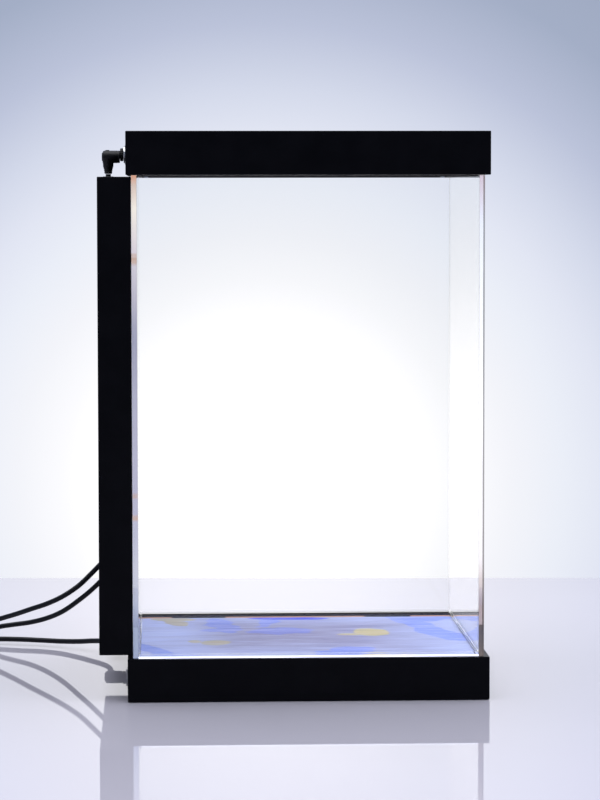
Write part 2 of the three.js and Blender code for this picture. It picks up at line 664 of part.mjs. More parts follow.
// Each free lead: its route from the object to its coil, and the coil's middle. turn is 1 for a coil that winds
// anticlockwise seen from above and -1 for clockwise, and leave is the angle at which the lead leaves the coil.
const LEADS = [
  {
    name: "column_cable",
    coil: [-409.3, 165],
    turn: 1,
    leave: 180,
    route: [
      [-229.1, 211.6, 113.9],
      [-237, 211.8, 106],
      [-250, 211.4, 92.8],
      [-264, 210.6, 79.8],
      [-283, 212, 67],
      [-303, 219, 57],
      [-322, 232, 49.2],
      [-342, 247, 40.8],
      [-360, 260, 34],
      [-378, 270.5, 27],
      [-396, 275, 20.4],
      [-414, 274, 14.4],
      [-431, 267, 10.2],
      [-444, 254, 6.9],
      [-450.4, 236, 4.8],
      [-452, 215, 3.6],
      [-451, 192, 3.2],
      [-449.2, 176, 3.2],
      [-448.5, 165, 3.1],
    ],
  },
  {
    name: "control_cable",
    coil: [-424.2, 425],
    turn: 1,
    leave: 90,
    route: [
      [-212.8, 204.4, 107],
      [-213.2, 209, 106.7],
      [-215.2, 216, 104.7],
      [-219.9, 222.4, 100],
      [-227, 225.4, 93],
      [-236.6, 226.6, 83.8],
      [-250, 229, 71],
      [-265, 235, 58.4],
      [-284, 247, 44],
      [-304, 262, 33.6],
      [-325, 276, 26.6],
      [-345, 286, 22.6],
      [-362, 294, 19.2],
      [-374, 304, 15],
      [-381.6, 319, 10.4],
      [-385, 338, 7],
      [-385.6, 362, 4.4],
      [-385.4, 394, 3.3],
      [-385, 425, 3.1],
    ],
  },
  {
    name: "stand_cable",
    coil: [-432.2, 338],
    turn: -1,
    leave: 180,
    route: [
      [-223.6, 156.9, 18.3],
      [-223.8, 164, 17.3],
      [-225.4, 174, 16.2],
      [-229.4, 185, 15.1],
      [-237, 196.4, 13.8],
      [-248.6, 208, 12.2],
      [-264, 221, 9.8],
      [-286, 239, 7.6],
      [-311, 254, 6.9],
      [-337, 263.4, 6.9],
      [-362, 271.4, 6.4],
      [-383, 276.6, 5.2],
      [-405, 281.4, 3.8],
      [-427, 287, 3.4],
      [-447.6, 295.6, 3.2],
      [-462.4, 308.6, 3.2],
      [-470, 323.6, 3.2],
      [-471.4, 338, 3.1],
    ],
  },
];

function leads() {
  const halfBand = COIL_TURNS_ACROSS * CABLE_RADIUS;
  const coilHeight = COIL_LAYERS * 2 * CABLE_RADIUS;
  const outerTurn = COIL_RADIUS + halfBand - CABLE_RADIUS;
  const tailHeight = coilHeight - CABLE_RADIUS;
  const ring = (grow, centre) =>
    turned(
      [
        [COIL_RADIUS - halfBand - grow, -grow],
        [COIL_RADIUS + halfBand + grow, -grow],
        [COIL_RADIUS + halfBand + grow, coilHeight + grow],
        [COIL_RADIUS - halfBand - grow, coilHeight + grow],
      ],
      COIL_SEGMENTS,
    )
      .rotateY(-Math.PI / 2)
      .translate(...centre, 0);

  const section = new THREE.Shape();
  for (let i = 0; i < CABLE_SIDES; i++) {
    const angle = (2 * Math.PI * i) / CABLE_SIDES;
    const point = [CABLE_RADIUS * Math.cos(angle), CABLE_RADIUS * Math.sin(angle)];
    if (i === 0) section.moveTo(...point);
    else section.lineTo(...point);
  }

  for (const { name, coil, turn, leave, route } of LEADS) {
    const curve = new THREE.CatmullRomCurve3(route.map((point) => new THREE.Vector3(...point)));
    const tube = new THREE.ExtrudeGeometry(section, { steps: CABLE_STEPS, extrudePath: curve });
    add(name, cut(tube, ring(GAP, coil)), rubber);

    const angle = THREE.MathUtils.degToRad(leave);
    const start = [coil[0] + outerTurn * Math.cos(angle), coil[1] + outerTurn * Math.sin(angle)];
    const heading = angle + (turn * Math.PI) / 2;
    const place = (geometry) => geometry.rotateZ(heading).translate(...start, tailHeight);
    add(`${name}_coil`, join(ring(0, coil), place(bar(CABLE_RADIUS, 0, TAIL_LENGTH, CABLE_SIDES))), rubber);

    const boot = TAIL_LENGTH + GAP;
    const barrel = boot + END_BOOT;
    const nut = barrel + END_BARREL;
    const connector = turned([
      [0, boot],
      [LEG_TIP_RADIUS, boot],
      [LEG_TOP_RADIUS, barrel],
      [END_BARREL_RADIUS, barrel],
      [END_BARREL_RADIUS, nut],
      [tailHeight, nut],
      [tailHeight, nut + END_NUT],
      [0, nut + END_NUT],
    ]);
    add(`${name}_end_connector`, place(connector), plastic);
  }
}

stand();
tank();
hood();
column();
inlet("stand", standInlet);
inlet("hood", hoodInlet);
inlet("column", columnInlet);
elbowPlug("stand", standPlug);
elbowPlug("hood", hoodInlet, hoodLegAxis);
elbowPlug("column", columnPlug);
hoodLead();
leads();

export default assembly;
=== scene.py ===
"""Looks of the glass tank on its black light stand, with its hood, light column, connectors and leads.

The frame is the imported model's: +X right, +Y back, +Z up, and the origin under the middle of the stand.
Materials, light and camera are in metres. Pieces are made in millimetres and scaled by MM.
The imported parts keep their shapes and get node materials. Walls, connectors, glands, leads and coils are
made finer here.
"""

import json
import math

import bmesh
import bpy
from mathutils import Matrix, Vector


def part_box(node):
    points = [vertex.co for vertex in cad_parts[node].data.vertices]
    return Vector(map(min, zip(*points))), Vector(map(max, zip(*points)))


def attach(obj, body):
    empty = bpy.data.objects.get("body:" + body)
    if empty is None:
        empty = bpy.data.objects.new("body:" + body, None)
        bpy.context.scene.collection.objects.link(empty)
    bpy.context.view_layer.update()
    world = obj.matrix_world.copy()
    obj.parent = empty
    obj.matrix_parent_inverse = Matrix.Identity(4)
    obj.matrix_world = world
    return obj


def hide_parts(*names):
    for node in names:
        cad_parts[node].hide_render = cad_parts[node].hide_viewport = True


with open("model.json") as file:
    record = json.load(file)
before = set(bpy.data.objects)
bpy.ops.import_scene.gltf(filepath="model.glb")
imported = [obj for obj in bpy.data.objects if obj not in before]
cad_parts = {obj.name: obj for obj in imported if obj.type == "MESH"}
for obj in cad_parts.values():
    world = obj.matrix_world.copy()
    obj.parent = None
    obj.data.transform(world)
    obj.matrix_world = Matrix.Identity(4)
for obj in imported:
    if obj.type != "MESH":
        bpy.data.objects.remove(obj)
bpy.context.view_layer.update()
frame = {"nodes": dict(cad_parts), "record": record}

MM = 0.001
CABLE_RADIUS = 3.1  # millimetres


def smooth(value, start, end):
    """0 before start, 1 after end, and a soft rise between them."""
    share = min(max((value - start) / (end - start), 0.0), 1.0)
    return share * share * (3 - 2 * share)


# ------------------------------------------------------------------ node materials


class Finish:
    """A material's node tree, built round one Principled shader and the object's own coordinates."""

    def __init__(self, name, values):
        self.material = bpy.data.materials.new(name)
        self.material.use_nodes = True
        self.tree = self.material.node_tree
        self.shader = self.tree.nodes["Principled BSDF"]
        self.place = self.tree.nodes.new("ShaderNodeTexCoord").outputs["Object"]
        for socket, value in values.items():
            self.feed(self.shader.inputs[socket], value)

    def feed(self, socket, value):
        """Link an output to the socket, or set its value."""
        if isinstance(value, bpy.types.NodeSocket):
            self.tree.links.new(value, socket)
        else:
            socket.default_value = value

    def node(self, kind, *inputs, **settings):
        """A shader node with these settings, its first sockets fed in order."""
        made = self.tree.nodes.new("ShaderNode" + kind)
        for key, value in settings.items():
            setattr(made, key, value)
        for socket, value in zip(made.inputs, inputs):
            self.feed(socket, value)
        return made

    def math(self, operation, *values):
        """The result of an operation on numbers."""
        return self.node("Math", *values, operation=operation).outputs[0]

    def vector(self, operation, *values):
        """The result of an operation on vectors: a number for LENGTH, or else a vector."""
        made = self.node("VectorMath", *values, operation=operation)
        return made.outputs["Value" if operation == "LENGTH" else "Vector"]

    def axis(self, name):
        """One coordinate of the place on the object."""
        return self.node("SeparateXYZ", self.place).outputs[name]

    def noise(self, grain, stretch=(1, 1, 1), detail=3.0):
        """Noise with features about grain metres across, longer along an axis where stretch is over 1."""
        scale = [1 / (grain * share) for share in stretch]
        spot = self.vector("MULTIPLY", self.place, scale)
        made = self.node("TexNoise", noise_dimensions="3D")
        self.feed(made.inputs["Vector"], spot)
        self.feed(made.inputs["Scale"], 1.0)
        self.feed(made.inputs["Detail"], detail)
        return made.outputs["Fac"]

    def span(self, value, start, end, low=0.0, high=1.0):
        """value from start..end, softly mapped to low..high."""
        made = self.node("MapRange", value, start, end, low, high, interpolation_type="SMOOTHSTEP")
        return made.outputs[0]

    def ramp(self, value, stops, mode="LINEAR"):
        """The colour that value picks from (position, colour) stops."""
        made = self.node("ValToRGB", value)
        made.color_ramp.interpolation = mode
        elements = made.color_ramp.elements
        while len(elements) < len(stops):
            elements.new(0.5)
        for element, (position, colour) in zip(elements, stops):
            element.position = position
            element.color = (*colour, 1.0)
        return made.outputs[0]

    def mix(self, share, low, high):
        """One colour laid over another by share."""
        made = self.tree.nodes.new("ShaderNodeMix")
        made.data_type = "RGBA"
        made.clamp_factor = True
        self.feed(made.inputs["Factor"], share)
        self.feed(made.inputs["A"], (*low, 1.0) if isinstance(low, tuple) else low)
        self.feed(made.inputs["B"], (*high, 1.0) if isinstance(high, tuple) else high)
        return made.outputs["Result"]

    def colour(self, value):
        """Set the shader's own colour."""
        self.feed(self.shader.inputs["Base Color"], value)

    def roughness(self, value, low, high):
        """Let a noise value move the roughness between low and high."""
        self.feed(self.shader.inputs["Roughness"], self.span(value, 0.25, 0.75, low, high))

    def relief(self, height, depth):
        """Bump of depth metres."""
        made = self.node("Bump", 1.0, depth)
        self.feed(made.inputs["Height"], height)
        self.feed(self.shader.inputs["Normal"], made.outputs["Normal"])


WEAR_SIZE = 40  # grains across a patch of wear


def grained(name, dark, light, grain, rough, depth, stretch=(1, 1, 1), values=None):
    """A plain material with a fine grain in its colour, gloss and surface, and slow patches of wear.

    dark and light are its two colours, grain is the size of a grain and depth its height in metres, and rough
    is the range of its roughness.
    """
    made = Finish(name, values or {})
    fine = made.noise(grain, stretch)
    slow = made.noise(grain * WEAR_SIZE, stretch, 2.0)
    made.colour(made.mix(made.span(made.math("ADD", fine, slow), 0.7, 1.3), dark, light))
    made.roughness(made.math("MULTIPLY", made.math("ADD", fine, slow), 0.5), *rough)
    made.relief(fine, depth)
    return made.material


def led_board(name, pitch, mask, lamp):
    """A circuit board with lamps on a grid of that pitch, each a square that stands on its corner."""
    made = Finish(name, {"Roughness": 0.4})
    cell = made.vector("FRACTION", made.vector("DIVIDE", made.place, (pitch, pitch, pitch)))
    off = made.vector("ABSOLUTE", made.vector("SUBTRACT", cell, (0.5, 0.5, 0.5)))
    across = made.node("SeparateXYZ", off)
    near = made.math("LESS_THAN", made.math("ADD", across.outputs[0], across.outputs[1]), 0.22)
    speckle = made.noise(0.0006)
    board = made.mix(made.span(speckle, 0.35, 0.65), mask, tuple(share * 0.85 for share in mask))
    made.colour(made.mix(near, board, lamp))
    made.relief(near, 0.0003)
    return made.material


# Panel print: (middle, half sizes, turn in degrees, wobble), all in metres on the panel.
YELLOW_PATCHES = [
    ((-0.150, 0.142), (0.030, 0.014), -8, 0.010),
    ((-0.146, 0.118), (0.012, 0.040), 20, 0.010),
    ((-0.100, -0.057), (0.017, 0.019), -18, 0.005),
    ((-0.124, -0.047), (0.008, 0.011), 0, 0.005),
    ((0.082, 0.022), (0.021, 0.032), 10, 0.007),
    ((0.055, 0.004), (0.015, 0.008), 4, 0.005),
    ((0.078, -0.156), (0.020, 0.016), 4, 0.004),
    ((0.106, -0.150), (0.016, 0.005), 6, 0.003),
]
BLUE_PATCHES = [
    ((-0.090, 0.084), (0.017, 0.062), 8, 0.016),
    ((-0.034, 0.120), (0.012, 0.056), -14, 0.014),
    ((-0.022, 0.036), (0.040, 0.027), 10, 0.018),
    ((-0.098, 0.046), (0.022, 0.013), 4, 0.012),
    ((0.138, 0.100), (0.016, 0.100), 17, 0.008),
    ((0.164, 0.006), (0.021, 0.065), 20, 0.010),
    ((0.160, 0.140), (0.026, 0.030), 20, 0.012),
    ((-0.178, -0.098), (0.013, 0.070), 26, 0.004),
    ((-0.136, -0.150), (0.042, 0.010), -22, 0.004),
    ((-0.094, -0.168), (0.040, 0.005), -6, 0.003),
    ((0.054, -0.120), (0.026, 0.025), -6, 0.014),
    ((0.030, -0.134), (0.022, 0.010), 4, 0.010),
]
BRIGHT_BLUE_PATCHES = [((-0.010, 0.1430), (0.048, 0.0120), -3, 0.003)]
# Painted light and shade at the panel's back edge: a thin line of painted glint in parts, over painted shade
# of the recess behind it, in metres back from the panel's middle.
RIM_START = 0.152
GLINT_END = 0.161
RIM_BLUR = 0.001
PAINTED_GLINT_COLOUR = (0.42, 0.24, 0.20)
PAINTED_GLINT_STEPS = [  # where along the line the painted glint is on (white) or off (black), as shares from its left end
    (0.0, (1, 1, 1)),
    (0.10, (0, 0, 0)),
    (0.27, (1, 1, 1)),
    (0.72, (0, 0, 0)),
    (0.87, (1, 1, 1)),
]


def floor_print():
    """Lavender-blue panel with pale brushed streaks, loose blue and yellow patches, and a faint painted glow.
    """
    made = Finish("floor_print", {"Specular IOR Level": 0.0})
    x, y = made.axis("X"), made.axis("Y")
    waver = made.node("TexNoise", noise_dimensions="3D")
    made.feed(waver.inputs["Vector"], made.place)
    made.feed(waver.inputs["Scale"], 38.0)
    made.feed(waver.inputs["Detail"], 2.0)
    drift = made.vector("SUBTRACT", waver.outputs["Color"], (0.5, 0.5, 0.5))

    def patch(middle, half, turn, wobble):
        """1 inside one wavering ellipse, with a soft rim, and 0 outside it."""
        spot = made.vector("SUBTRACT", made.place, (*middle, 0.0))
        spot = made.vector("ADD", spot, made.vector("MULTIPLY", drift, (wobble * 2, wobble * 2, 0.0)))
        turned = made.node("VectorRotate", spot, rotation_type="Z_AXIS")
        made.feed(turned.inputs["Angle"], math.radians(-turn))
        flat = made.vector("DIVIDE", turned.outputs[0], (*half, 1.0))
        reach = made.vector("LENGTH", made.vector("MULTIPLY", flat, (1.0, 1.0, 0.0)))
        return made.span(reach, 0.92, 1.08, 1.0, 0.0)

    def cover(patches):
        """1 inside any of the patches."""
        covered = patch(*patches[0])
        for more in patches[1:]:
            covered = made.math("MAXIMUM", covered, patch(*more))
        return covered

    edge = made.math("MAXIMUM", made.math("ABSOLUTE", x), made.math("ABSOLUTE", y))
    body = made.mix(made.span(edge, 0.04, 0.18), (0.28, 0.275, 0.44), (0.38, 0.43, 0.70))
    body = made.mix(made.span(x, -0.08, -0.17, 0.0, 0.75), body, (0.47, 0.54, 0.92))
    cloud = made.span(made.noise(0.05, (3, 1, 1)), 0.3, 0.7)
    body = made.mix(made.math("MULTIPLY", cloud, 0.35), body, (0.25, 0.25, 0.42))
    blue = made.mix(made.span(edge, 0.04, 0.17), (0.20, 0.23, 0.60), (0.22, 0.29, 0.74))
    body = made.mix(made.math("MULTIPLY", cover(BLUE_PATCHES), 0.9), body, blue)
    body = made.mix(cover(BRIGHT_BLUE_PATCHES), body, (0.07, 0.09, 0.66))
    yellow = made.mix(made.span(x, -0.12, 0.06), (0.42, 0.385, 0.30), (0.52, 0.45, 0.23))
    body = made.mix(made.math("MULTIPLY", cover(YELLOW_PATCHES), 0.9), body, yellow)
    streak = made.noise(0.006, (9, 1, 1), 5.0)
    body = made.mix(made.span(streak, 0.45, 0.75, 0.0, 0.5), body, (0.46, 0.50, 0.74))
    body = made.mix(made.span(streak, 0.28, 0.50, 0.3, 0.0), body, (0.17, 0.18, 0.36))

    # Painted shade of the recess behind the panel's back edge, with a thin band of painted glint in parts
    # over it.
    rim = made.span(y, RIM_START, RIM_START + RIM_BLUR)
    line = made.math("SUBTRACT", rim, made.span(y, GLINT_END, GLINT_END + RIM_BLUR))
    left, right = (corner.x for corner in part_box("floor_panel"))
    along = made.node("MapRange", x, left, right).outputs[0]
    painted_glint = made.math("MULTIPLY", line, made.ramp(along, PAINTED_GLINT_STEPS, "CONSTANT"))
    body = made.mix(rim, body, (0.012, 0.013, 0.03))
    body = made.mix(painted_glint, body, PAINTED_GLINT_COLOUR)
    made.colour(body)
    made.roughness(streak, 0.28, 0.5)
    made.relief(streak, 0.00008)
    # Painted light: the panel glows faintly with its own colour, though it is no lamp.
    made.feed(made.shader.inputs["Emission Color"], body)
    made.feed(made.shader.inputs["Emission Strength"], 0.3)
    return made.material


CLEAR = (0.992, 0.996, 0.996)

# Refractive indices. Glass has about 1.5, but the floor is seen along its surface here, where that would hide
# the panel under reflections.
WALL_BEND = 1.25
SIDE_BEND = 1.46
BOTTOM_BEND = 1.008
SEAM_BEND = 1.01


class Glass(Finish):
    """Clear float glass that lets lamps through, with a very slight waviness."""

    def __init__(self, name, bend, waver=0.00002):
        super().__init__(
            name, {"Base Color": (*CLEAR, 1.0), "Roughness": 0.0, "IOR": bend, "Transmission Weight": 1.0}
        )
        self.relief(self.noise(0.09, detail=1.0), waver)
        clear = self.node("BsdfTransparent", (0.98, 0.985, 0.985, 1.0))
        passing = self.node("LightPath").outputs["Is Shadow Ray"]
        both = self.node("MixShader", passing, self.shader.outputs[0], clear.outputs[0])
        self.feed(self.tree.nodes["Material Output"].inputs["Surface"], both.outputs[0])

    def paint_light(self, share, colour, glow):
        """Paint light on the glass where share is 1: a painted colour that glows, though the glass is no
        lamp.
        """
        self.colour(self.mix(share, CLEAR, colour))
        self.feed(self.shader.inputs["Emission Color"], self.mix(share, (0, 0, 0), colour))
        self.feed(self.shader.inputs["Emission Strength"], glow)


def side_glass(name, stops, glow):
    """A side pane, whose polished front and back ends carry the stops' colours by height as painted
    reflection and glow.
    """
    made = Glass(name, SIDE_BEND)
    low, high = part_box("left_pane")
    height = made.node("MapRange", made.axis("Z"), low.z, high.z).outputs[0]
    streaks = made.span(made.noise(0.0008, (1, 1, 40)), 0.3, 0.7, 0.0, 0.15)
    colour = made.mix(streaks, made.ramp(height, stops), (0.45, 0.46, 0.58))
    normal = made.node("SeparateXYZ", made.node("NewGeometry").outputs["Normal"])
    # The ends get painted reflection and glow.
    made.paint_light(made.span(made.math("ABSOLUTE", normal.outputs["Y"]), 0.5, 0.8), colour, glow)
    return made.material


EDGE_GLOW_HEIGHT = 0.0011  # height of the painted glow along the front pane's lower edge


def front_glass():
    """The front pane, with a painted glow along its lower edge."""
    made = Glass("front_pane_glass", WALL_BEND)
    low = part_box("front_pane")[0].z
    painted_edge = made.span(made.axis("Z"), low + EDGE_GLOW_HEIGHT, low + EDGE_GLOW_HEIGHT + 0.0005, 1.0, 0.0)
    # Painted light: the lower edge glows pale blue.
    made.paint_light(painted_edge, (0.80, 0.82, 1.0), 0.75)
    return made.material


# Painted reflections and glow on the side panes' ends, by share of the pane's height from its foot. The two
# brown bars on the left are painted reflections of the column's foam pads.
LEFT_END_STOPS = [
    (0.0, (0.14, 0.17, 0.30)),
    (0.06, (0.29, 0.34, 0.42)),
    (0.12, (0.43, 0.44, 0.50)),
    (0.255, (0.32, 0.33, 0.42)),
    (0.285, (0.33, 0.33, 0.42)),
    (0.288, (0.42, 0.25, 0.17)),
    (0.296, (0.42, 0.25, 0.17)),
    (0.299, (0.31, 0.31, 0.40)),
    (0.50, (0.30, 0.305, 0.39)),
    (0.66, (0.25, 0.255, 0.34)),
    (0.815, (0.52, 0.49, 0.53)),
    (0.818, (0.45, 0.28, 0.18)),
    (0.828, (0.45, 0.28, 0.18)),
    (0.831, (0.55, 0.50, 0.54)),
    (0.93, (0.76, 0.70, 0.60)),
    (0.98, (0.60, 0.47, 0.38)),
    (1.0, (0.60, 0.30, 0.17)),
]
RIGHT_END_STOPS = [
    (0.0, (0.50, 0.42, 0.38)),
    (0.05, (0.22, 0.20, 0.26)),
    (0.10, (0.38, 0.29, 0.26)),
    (0.15, (0.75, 0.72, 0.74)),
    (0.50, (0.90, 0.90, 0.93)),
    (0.90, (0.74, 0.76, 0.82)),
    (1.0, (0.60, 0.50, 0.54)),
]

SATIN_BLACK = grained(
    "satin_black",
    (0.0008, 0.0008, 0.0018),
    (0.0019, 0.0019, 0.0034),
    0.0007,
    (0.30, 0.42),
    0.00004,
    values={"Specular IOR Level": 0.08},
)
DARK_FRAME = grained("dark_frame", (0.012, 0.008, 0.006), (0.022, 0.015, 0.011), 0.0008, (0.5, 0.65), 0.00005)
FLOOR_PRINT = floor_print()
FRONT_GLASS = front_glass()
BACK_GLASS = Glass("back_pane_glass", WALL_BEND).material
BOTTOM_GLASS = Glass("bottom_pane_glass", BOTTOM_BEND, 0.0).material
LEFT_GLASS = side_glass("left_pane_glass", LEFT_END_STOPS, 0.22)
RIGHT_GLASS = side_glass("right_pane_glass", RIGHT_END_STOPS, 0.25)
SILICONE = Glass("clear_silicone", SEAM_BEND, 0.0001).material
OPAL = grained(
    "opal_cover",
    (0.80, 0.80, 0.79),
    (0.90, 0.90, 0.89),
    0.0015,
    (0.42, 0.55),
    0.00003,
    values={"Subsurface Weight": 0.2, "Subsurface Scale": 0.003},
)
CIRCUIT = led_board("light_board", 0.012, (0.78, 0.79, 0.76), (0.85, 0.62, 0.10))
ALUMINIUM = grained(
    "brushed_aluminium",
    (0.55, 0.56, 0.58),
    (0.70, 0.71, 0.73),
    0.0006,
    (0.28, 0.42),
    0.00003,
    stretch=(50, 1, 1),
    values={"Metallic": 1.0},
)
STEEL = grained(
    "plain_steel",
    (0.36, 0.37, 0.39),
    (0.50, 0.51, 0.53),
    0.0007,
    (0.25, 0.45),
    0.00002,
    stretch=(12, 1, 1),
    values={"Metallic": 1.0},
)
NICKEL = grained(
    "bright_nickel",
    (0.78, 0.78, 0.77),
    (0.92, 0.92, 0.91),
    0.0004,
    (0.26, 0.40),
    0.00001,
    stretch=(1, 8, 8),
    values={"Metallic": 1.0},
)
RUBBER = grained("black_rubber", (0.008, 0.008, 0.008), (0.018, 0.018, 0.018), 0.0006, (0.6, 0.8), 0.00006)
PAD = grained("brown_foam_pad", (0.20, 0.085, 0.035), (0.34, 0.16, 0.075), 0.0009, (0.75, 0.9), 0.00015)
PLASTIC = grained(
    "moulded_black",
    (0.0020, 0.0020, 0.0026),
    (0.0045, 0.0045, 0.0055),
    0.0005,
    (0.32, 0.48),
    0.00004,
    values={"Specular IOR Level": 0.2},
)
SUPPLY_CASE = grained("supply_case", (0.04, 0.04, 0.044), (0.065, 0.065, 0.07), 0.0007, (0.5, 0.7), 0.00006)
CABLE = grained(
    "cable_jacket",
    (0.0010, 0.0012, 0.0028),
    (0.0030, 0.0034, 0.0060),
    0.0012,
    (0.26, 0.40),
    0.00003,
    stretch=(2, 2, 2),
    values={"Specular IOR Level": 0.25},
)
TIE = grained("cable_tie", (0.012, 0.012, 0.013), (0.03, 0.03, 0.032), 0.0004, (0.7, 0.9), 0.0001)

# By slot. The four walls get glass of their own in panes(), so only the bottom pane keeps this one.
MATERIAL_OF = {
    "satin_black": SATIN_BLACK,
    "dark_frame": DARK_FRAME,
    "glass": BOTTOM_GLASS,
    "silicone": SILICONE,
    "floor_print": FLOOR_PRINT,
    "opal": OPAL,
    "circuit": CIRCUIT,
    "aluminium": ALUMINIUM,
    "steel": STEEL,
    "bright_metal": NICKEL,
    "rubber": RUBBER,
    "pad": PAD,
    "connector_black": PLASTIC,
    "supply_case": SUPPLY_CASE,
    "cable": CABLE,
}


def paint_nodes():
    """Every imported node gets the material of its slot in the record."""
    for row in frame["record"]["subparts"]:
        mesh = frame["nodes"][row["node"]].data
        mesh.materials.clear()
        mesh.materials.append(MATERIAL_OF[row["material_slot"]])


# ------------------------------------------------------------------ mesh pieces


def link(obj, body, nodes=()):
    """Put a new piece in the scene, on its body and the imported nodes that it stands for."""
    bpy.context.scene.collection.objects.link(obj)
    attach(obj, body)
    if nodes:
        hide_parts(*nodes)
    return obj


def mesh_piece(name, parts, material, body, nodes=(), place=None, crease=38):
    """A piece from (vertices, faces) parts in millimetres, in the frame that place gives in metres."""
    vertices = []
    faces = []
    for part_vertices, part_faces in parts:
        first = len(vertices)
        vertices += [(x * MM, y * MM, z * MM) for x, y, z in part_vertices]
        faces += [[first + corner for corner in face] for face in part_faces]
    mesh = bpy.data.meshes.new(name)
    mesh.from_pydata(vertices, [], faces)
    mesh.validate()
    mesh.shade_smooth()
    mesh.set_sharp_from_angle(angle=math.radians(crease))
    mesh.materials.append(material)
    obj = bpy.data.objects.new(name, mesh)
    if place is not None:
        obj.matrix_world = place
    return link(obj, body, nodes)


def skin(loops, closed=False):
    """Faces between loops of vertex numbers. A loop of one repeated number closes an end in a point."""
    pairs = list(zip(loops, loops[1:]))
    if closed:
        pairs.append((loops[-1], loops[0]))
    faces = []
    for near, far in pairs:
        for i, corner in enumerate(near):
            following = (i + 1) % len(near)
            face = list(dict.fromkeys([corner, near[following], far[following], far[i]]))
            if len(face) > 2:
                faces.append(face)
    return faces


def turned(rings, segments=64, closed=False):
    """A form turned about the local X axis, from (x, radius) rings. A radius may be a function of angle."""
    vertices = []
    loops = []
    for x, radius in rings:
        if radius == 0:
            loops.append([len(vertices)] * segments)
            vertices.append((x, 0.0, 0.0))
            continue
        loops.append(list(range(len(vertices), len(vertices) + segments)))
        for i in range(segments):
            angle = 2 * math.pi * i / segments
            reach = radius(angle) if callable(radius) else radius
            vertices.append((x, reach * math.cos(angle), reach * math.sin(angle)))
    return vertices, skin(loops, closed)


def soft_box(low, high, edge):
    """A box with rounded edges, between two corners."""
    work = bmesh.new()
    bmesh.ops.create_cube(work, size=1.0)
    low, high = Vector(low), Vector(high)
    for vertex in work.verts:
        vertex.co = Vector([a + (b - a) * (share + 0.5) for a, b, share in zip(low, high, vertex.co)])
    bmesh.ops.bevel(work, geom=work.edges[:], offset=edge, segments=2, affect="EDGES", profile=0.5)
    bmesh.ops.recalc_face_normals(work, faces=work.faces[:])
    vertices = [tuple(vertex.co) for vertex in work.verts]
    faces = [[vertex.index for vertex in face.verts] for face in work.faces]
    work.free()
    return vertices, faces


def moved(part, matrix):
    """A part, turned and moved by a matrix."""
    vertices, faces = part
    return [tuple(matrix @ Vector(vertex)) for vertex in vertices], faces


def rounded_square(half, corner):
    """The radius of a rounded square at an angle."""

    def reach(angle):
        across, along = sorted((abs(math.cos(angle)), abs(math.sin(angle))))
        if across / along * half <= half - corner:
            return half / along
        middle = half - corner
        facing = middle * (across + along)
        return facing + math.sqrt(facing * facing - 2 * middle * middle + corner * corner)

    return reach


def knurled(radius, ribs, depth):
    """The radius of a ribbed grip at an angle."""
    return lambda angle: radius - depth * (0.5 - 0.5 * math.cos(ribs * angle)) ** 2


def screw_head(radius, x, y, z):
    """A countersunk cross-head in a flange, facing the local +X."""
    slot = radius * 0.28

    def cross(angle):
        turned_by = (angle + math.pi / 4) % (math.pi / 2) - math.pi / 4
        return min(radius * 0.68, slot / max(abs(math.sin(turned_by)), 0.3))

    rings = [
        (-0.5, 0),
        (-0.5, radius),
        (0.12, radius),
        (0.30, radius * 0.84),
        (0.30, cross),
        (-0.25, cross),
        (-0.25, 0),
    ]
    return moved(turned(rings, 48), Matrix.Translation((x, y, z)))


# ------------------------------------------------------------------ glass


PANE_JOINT = 0.02
GROUND_EDGE = 0.12


def panes():
    """The four walls, with fine ground edges and a hairline joint between the front or back and the sides."""
    for name, material in (
        ("left_pane", LEFT_GLASS),
        ("right_pane", RIGHT_GLASS),
        ("front_pane", FRONT_GLASS),
        ("back_pane", BACK_GLASS),
    ):
        low, high = (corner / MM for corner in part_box(name))
        if name in ("front_pane", "back_pane"):
            low.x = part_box("left_pane")[1].x / MM + PANE_JOINT
            high.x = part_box("right_pane")[0].x / MM - PANE_JOINT
        side = name.split("_")[0]
        wall = soft_box(low, high, GROUND_EDGE)
        mesh_piece(f"{side}_glass", [wall], material, "tank_and_stand", [name], crease=5)


# ------------------------------------------------------------------ connectors

# Places out of the face that a connector sits on, in millimetres.
SOCKET_BACK = -10.0
FLANGE_START = 0.3
FLANGE_FACE = 3.3
RING_START = 3.6
RING_END = 5.2
NUT_START = 5.5
NUT_END = 9.4
ELBOW_START = 9.7
LEG_AXIS = 23.6

BORE_DEPTH = 2.9  # behind the face
LEG_TIP = 22.7  # along the leg, from the connector's axis
ELBOW_DROP = 2.5  # from the connector's axis to the elbow barrel's, along the leg
FLANGE_HALF = 13.25
SCREW_PLACE = 9.9  # from the flange's middle, both across and up

# Radii.
FLANGE_HOLE = 7.8
SOCKET_RADIUS = 7.5
RING_RADIUS = 10.0
BORE_RADIUS = 5.1
SPIGOT_RADIUS = 4.7
NUT_RADIUS = 7.7
BARREL_RADIUS = 7.5

STAND_LEG_TILT = math.radians(8)  # below level


def connector_frame(origin, outward, leg):
    """Local X runs out of the face and local -Z along the elbow's leg."""
    x = Vector(outward).normalized()
    z = -Vector(leg).normalized()
    y = z.cross(x)
    frame_of = Matrix((x, y, z)).transposed().to_4x4()
    frame_of.translation = origin
    return frame_of


